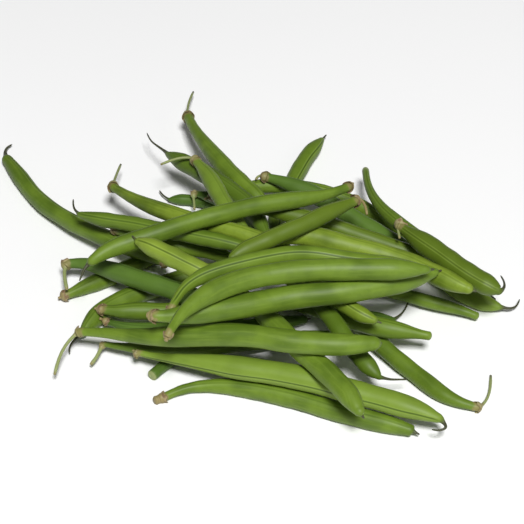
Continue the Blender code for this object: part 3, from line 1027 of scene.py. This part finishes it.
    @staticmethod
    def _rise(value: np.ndarray, start: float, end: float) -> np.ndarray:
        """A smooth rise from 0 at start to 1 at end."""
        share = np.clip((value - start) / (end - start), 0.0, 1.0)
        return share * share * (3 - 2 * share)

    def _round_ends(self, skin: np.ndarray, step: np.ndarray, middle: np.ndarray) -> None:
        """Rounds the two free ends.

        Args:
            skin: the corners' places, which are changed.
            step: the step of each corner.
            middle: which corners close an end.
        """
        last = len(self.route.points) - 1
        shrink = self.CUT_RIM if self.cap is CapStyle.CUT else self.STALK_RIM
        for end, share in ((0, shrink), (last, self.TAIL_RIM)):
            rim = (step == end) & ~middle
            centre = self.route.points[end]
            skin[rim] = centre + (skin[rim] - centre) * share

    def _paint_cut(self, piece: bpy.types.Object) -> None:
        """Gives the cut face at the stalk end its paler flesh.

        Args:
            piece: the bent bean.
        """
        start, run = self.route.points[0], self.route.runs[0]
        reach = self.route.radii[0] * self.CUT_REACH
        for face in piece.data.polygons:
            if len(face.vertices) == 3 and (Vector(start) - face.center).length < reach:
                face.material_index = int(abs(face.normal.dot(Vector(run))) > self.HALF)

    def _add_cap(self, piece: bpy.types.Object, mould: bpy.types.Object) -> None:
        """Copies the cap to the bean's neck and joins it to the bean.

        Args:
            piece: the bent bean.
            mould: the cap that is copied.
        """
        route = self.route
        place = int(np.searchsorted(route.along, route.pod_start - sized(self.CAP_BEHIND)))
        neck = int(np.searchsorted(route.along, route.pod_start + sized(self.CAP_NECK)))
        size = route.radii[neck] * self.cap_size
        cap = bpy.data.objects.new(self.name + "_cap", mould.data.copy())
        bpy.context.scene.collection.objects.link(cap)
        cap.data.materials.clear()
        for material in piece.data.materials:
            cap.data.materials.append(material)
        cap.data.polygons.foreach_set("material_index", [1] * len(cap.data.polygons))
        spin = self.random.uniform(0.0, math.tau)
        ragged = self.random.uniform(*self.SEPAL_RAGGED, SEPALS)
        turn = Matrix((route.seams[place], route.sides[place], route.runs[place])).transposed()
        for corner in cap.data.vertices:
            local = Matrix.Rotation(spin, 3, "Z") @ corner.co
            around = math.atan2(corner.co.y, corner.co.x) / math.tau
            lobe = int((around * SEPALS + 0.5) % SEPALS)
            if local.z > self.SEPAL_FOOT:
                local.z = self.SEPAL_FOOT + (local.z - self.SEPAL_FOOT) * ragged[lobe]
            corner.co = Vector(route.points[place]) + turn @ (local * float(size))
            corner.co.z = max(corner.co.z, 0.0)
        bpy.ops.object.select_all(action="DESELECT")
        cap.select_set(True)
        piece.select_set(True)
        bpy.context.view_layer.objects.active = piece
        bpy.ops.object.join()


@dataclass
class Heap:
    """All the beans, from the bottom of the heap to the top."""

    beans: tuple[Bean, ...] = (
        # Beans 1 and 2 lie in shadow low in the heap: the dark tone of bean 1 and the deep tint of bean
        # 2 are partly their own green and partly painted shade
        Bean(1, Tone.DARK, CapStyle.CUT, 0.3, 0.3),
        Bean(2, Tone.MID, CapStyle.LEAFY, -0.9, 0.2),
        Bean(3, Tone.MID, CapStyle.HUSK, 0.0, 0.3),
        Bean(4, Tone.MID, CapStyle.HUSK, -0.3, 0.3),
        Bean(5, Tone.DARK, CapStyle.HUSK, 0.3, 0.3),
        Bean(6, Tone.MID, CapStyle.LEAFY, -0.5, 0.2),
        Bean(7, Tone.MID, CapStyle.CUT, -0.2, 0.3),
        Bean(8, Tone.MID, CapStyle.HUSK, 1.0, 0.3),
        Bean(9, Tone.MID, CapStyle.HUSK, -0.3, 0.3),
        Bean(10, Tone.MID, CapStyle.HUSK, -0.5, 1.0),
        Bean(11, Tone.DARK, CapStyle.LEAFY, 0.2, 0.3),
        Bean(12, Tone.DARK, CapStyle.LEAFY, 0.3, 0.3),
        Bean(13, Tone.MID, CapStyle.HUSK, -0.3, 0.6),
        Bean(14, Tone.MID, CapStyle.LEAFY, -0.1, 0.3),
        Bean(15, Tone.MID, CapStyle.HUSK, -1.0, 0.3),
        Bean(16, Tone.MID, CapStyle.LEAFY, 0.7, 0.3, cap_size=0.85),
        Bean(17, Tone.MID, CapStyle.LEAFY, -0.3, 0.8),
        Bean(18, Tone.BRIGHT, CapStyle.LEAFY, -0.1, 0.4),
        Bean(19, Tone.MID, CapStyle.HUSK, -0.1, 0.4, cap_size=0.85),
        Bean(20, Tone.MID, CapStyle.LEAFY, -0.6, 0.7),
        Bean(21, Tone.DARK, CapStyle.LEAFY, 1.0, 0.2),
        Bean(22, Tone.BRIGHT, CapStyle.HUSK, -1.3, 0.4, cap_size=0.85),
        Bean(23, Tone.MID, CapStyle.CUT, -0.6, 0.5, swell=0.03, girth=0.92),
        Bean(24, Tone.BRIGHT, CapStyle.LEAFY, -1.3, 0.7, swell=0.03, girth=0.94),
        Bean(25, Tone.BRIGHT, CapStyle.HUSK, -0.1, 0.35),
        Bean(26, Tone.MID, CapStyle.HUSK, -0.6, 0.3),
        Bean(27, Tone.DARK, CapStyle.HUSK, 0.5, 0.3),
        Bean(28, Tone.DARK, CapStyle.LEAFY, 0.8, 0.5),
        Bean(29, Tone.MID, CapStyle.CUT, -0.4, 0.5),
        Bean(30, Tone.MID, CapStyle.HUSK, -0.9, 0.2),
        Bean(31, Tone.MID, CapStyle.LEAFY, 1.0, 1.0),
        Bean(32, Tone.BRIGHT, CapStyle.HUSK, -0.5, 0.9),
        Bean(33, Tone.MID, CapStyle.HUSK, -0.2, 0.2),
        Bean(34, Tone.MID, CapStyle.LEAFY, 0.0, 0.2),
        Bean(35, Tone.MID, CapStyle.HUSK, -0.2, 0.3),
        Bean(36, Tone.BRIGHT, CapStyle.LEAFY, 0.6, 1.0),
        Bean(37, Tone.BRIGHT, CapStyle.HUSK, -1.0, 0.8),
        Bean(38, Tone.MID, CapStyle.HUSK, 0.2, 1.0),
        Bean(39, Tone.MID, CapStyle.HUSK, 0.0, 0.3),
        Bean(40, Tone.MID, CapStyle.HUSK, -0.1, 0.7),
    )

    def build(self) -> None:
        """Builds every bean."""
        skins = {tone: PodSkin(finish) for tone, finish in SKINS.items()}
        caps = {style: CapSkin(finish) for style, finish in CAPS.items()}
        mould = CapMould().build()
        for bean in self.beans:
            bean.build(mould, skins, caps)
        bpy.data.objects.remove(mould)


@dataclass(frozen=True)
class Lamp:
    """A square area light that faces the heap.

    Attributes:
        name: the light's name.
        place: where it stands, metres.
        size: its side, metres.
        power: its power, watts.
    """

    name: str
    place: tuple[float, float, float]
    size: float
    power: float


@dataclass
class Studio:
    """The floor, the lights and the camera.

    Attributes:
        down: how far the camera looks down, degrees.
        distance: from the camera to the point that it looks at, millimetres.
        target: that point, millimetres.
        across: how much the photograph's width takes in at the target, millimetres.
        sensor: the camera's sensor, millimetres.
        far: how far the camera sees, metres.
        floor_size: the floor's side, metres.
        floor_drop: how far the floor lies under the heap, millimetres.
        air: how bright the even white light from all round is.
        aim: the point that the lamps face, metres.
        lamps: a strong key light high in front and a weak fill low on the right.
    """

    down: float = 40.0
    distance: float = 800.0
    target: tuple[float, float, float] = (4.928, -19.077, 15.0)
    across: float = 209.6
    sensor: float = 36.0
    far: float = 20.0
    floor_size: float = 6.0
    floor_drop: float = 0.15
    air: float = 0.11
    aim: tuple[float, float, float] = (0.0, -0.02, 0.015)
    lamps: tuple[Lamp, ...] = (
        Lamp("key_light", (0.20, -1.46, 2.03), 0.45, 73.0),
        Lamp("fill_light", (1.30, -1.60, 1.30), 0.80, 2.0),
    )

    # The floor's clouds, its two whites and its roughness
    FLOOR_NOISE = (3.0, 2.0)
    FLOOR_CLOUDS = Rise(0.2, 0.8)
    FLOOR_WHITES = ((0.93, 0.93, 0.93), (0.95, 0.95, 0.95))
    FLOOR_ROUGHNESS = 0.9

    def build(self) -> None:
        """Builds the floor, the lights and the camera."""
        self._floor()
        self._lights()
        self._camera()

    def _floor(self) -> None:
        """A wide pale floor."""
        bpy.ops.object.select_all(action="DESELECT")
        bpy.ops.mesh.primitive_plane_add(size=self.floor_size, location=(0, 0, -sized(self.floor_drop)))
        floor = bpy.context.object
        floor.name = "studio_floor"
        kit = NodeKit("floor_paint")
        place = kit.node("ShaderNodeTexCoord").outputs["Object"]
        clouds = kit.ramp(kit.noise(place, *self.FLOOR_NOISE), self.FLOOR_CLOUDS)
        kit.join(kit.mix(clouds, *self.FLOOR_WHITES), kit.shader.inputs["Base Color"])
        kit.shader.inputs["Roughness"].default_value = self.FLOOR_ROUGHNESS
        floor.data.materials.append(kit.material)

    def _lights(self) -> None:
        """An even white light from all round, and the lamps."""
        scene = bpy.context.scene
        world = bpy.data.worlds.new("studio_air")
        world.use_nodes = True
        background = world.node_tree.nodes["Background"]
        background.inputs["Color"].default_value = (1.0, 1.0, 1.0, 1.0)
        background.inputs["Strength"].default_value = self.air
        scene.world = world
        scene.view_settings.view_transform = "Standard"
        for lamp in self.lamps:
            self._hang(lamp)

    def _hang(self, lamp: Lamp) -> None:
        """Puts up one lamp.

        Args:
            lamp: the lamp's place, size and power.
        """
        light = bpy.data.lights.new(lamp.name, "AREA")
        light.size = lamp.size
        light.energy = lamp.power
        holder = bpy.data.objects.new(lamp.name, light)
        holder.location = lamp.place
        aim = Vector(self.aim) - Vector(lamp.place)
        holder.rotation_euler = aim.to_track_quat("-Z", "Y").to_euler()
        bpy.context.scene.collection.objects.link(holder)

    def _camera(self) -> None:
        """The camera at the photograph's angle."""
        down = math.radians(self.down)
        ahead = Vector((0.0, math.cos(down), -math.sin(down)))
        lens = bpy.data.cameras.new("studio_camera")
        lens.sensor_width = self.sensor
        lens.lens = self.sensor * self.distance / self.across
        lens.clip_end = self.far
        camera = bpy.data.objects.new("studio_camera", lens)
        camera.location = Vector(self.target) * MM - ahead * sized(self.distance)
        camera.rotation_euler = (math.pi / 2 - down, 0.0, 0.0)
        bpy.context.scene.collection.objects.link(camera)
        bpy.context.scene.camera = camera


def main() -> None:
    """Builds the studio and then the heap, and logs each bean's number of faces."""
    logging.basicConfig(level=logging.INFO, format="%(name)s: %(message)s")
    Studio().build()
    Heap().build()


if __name__ == "__main__":
    main()
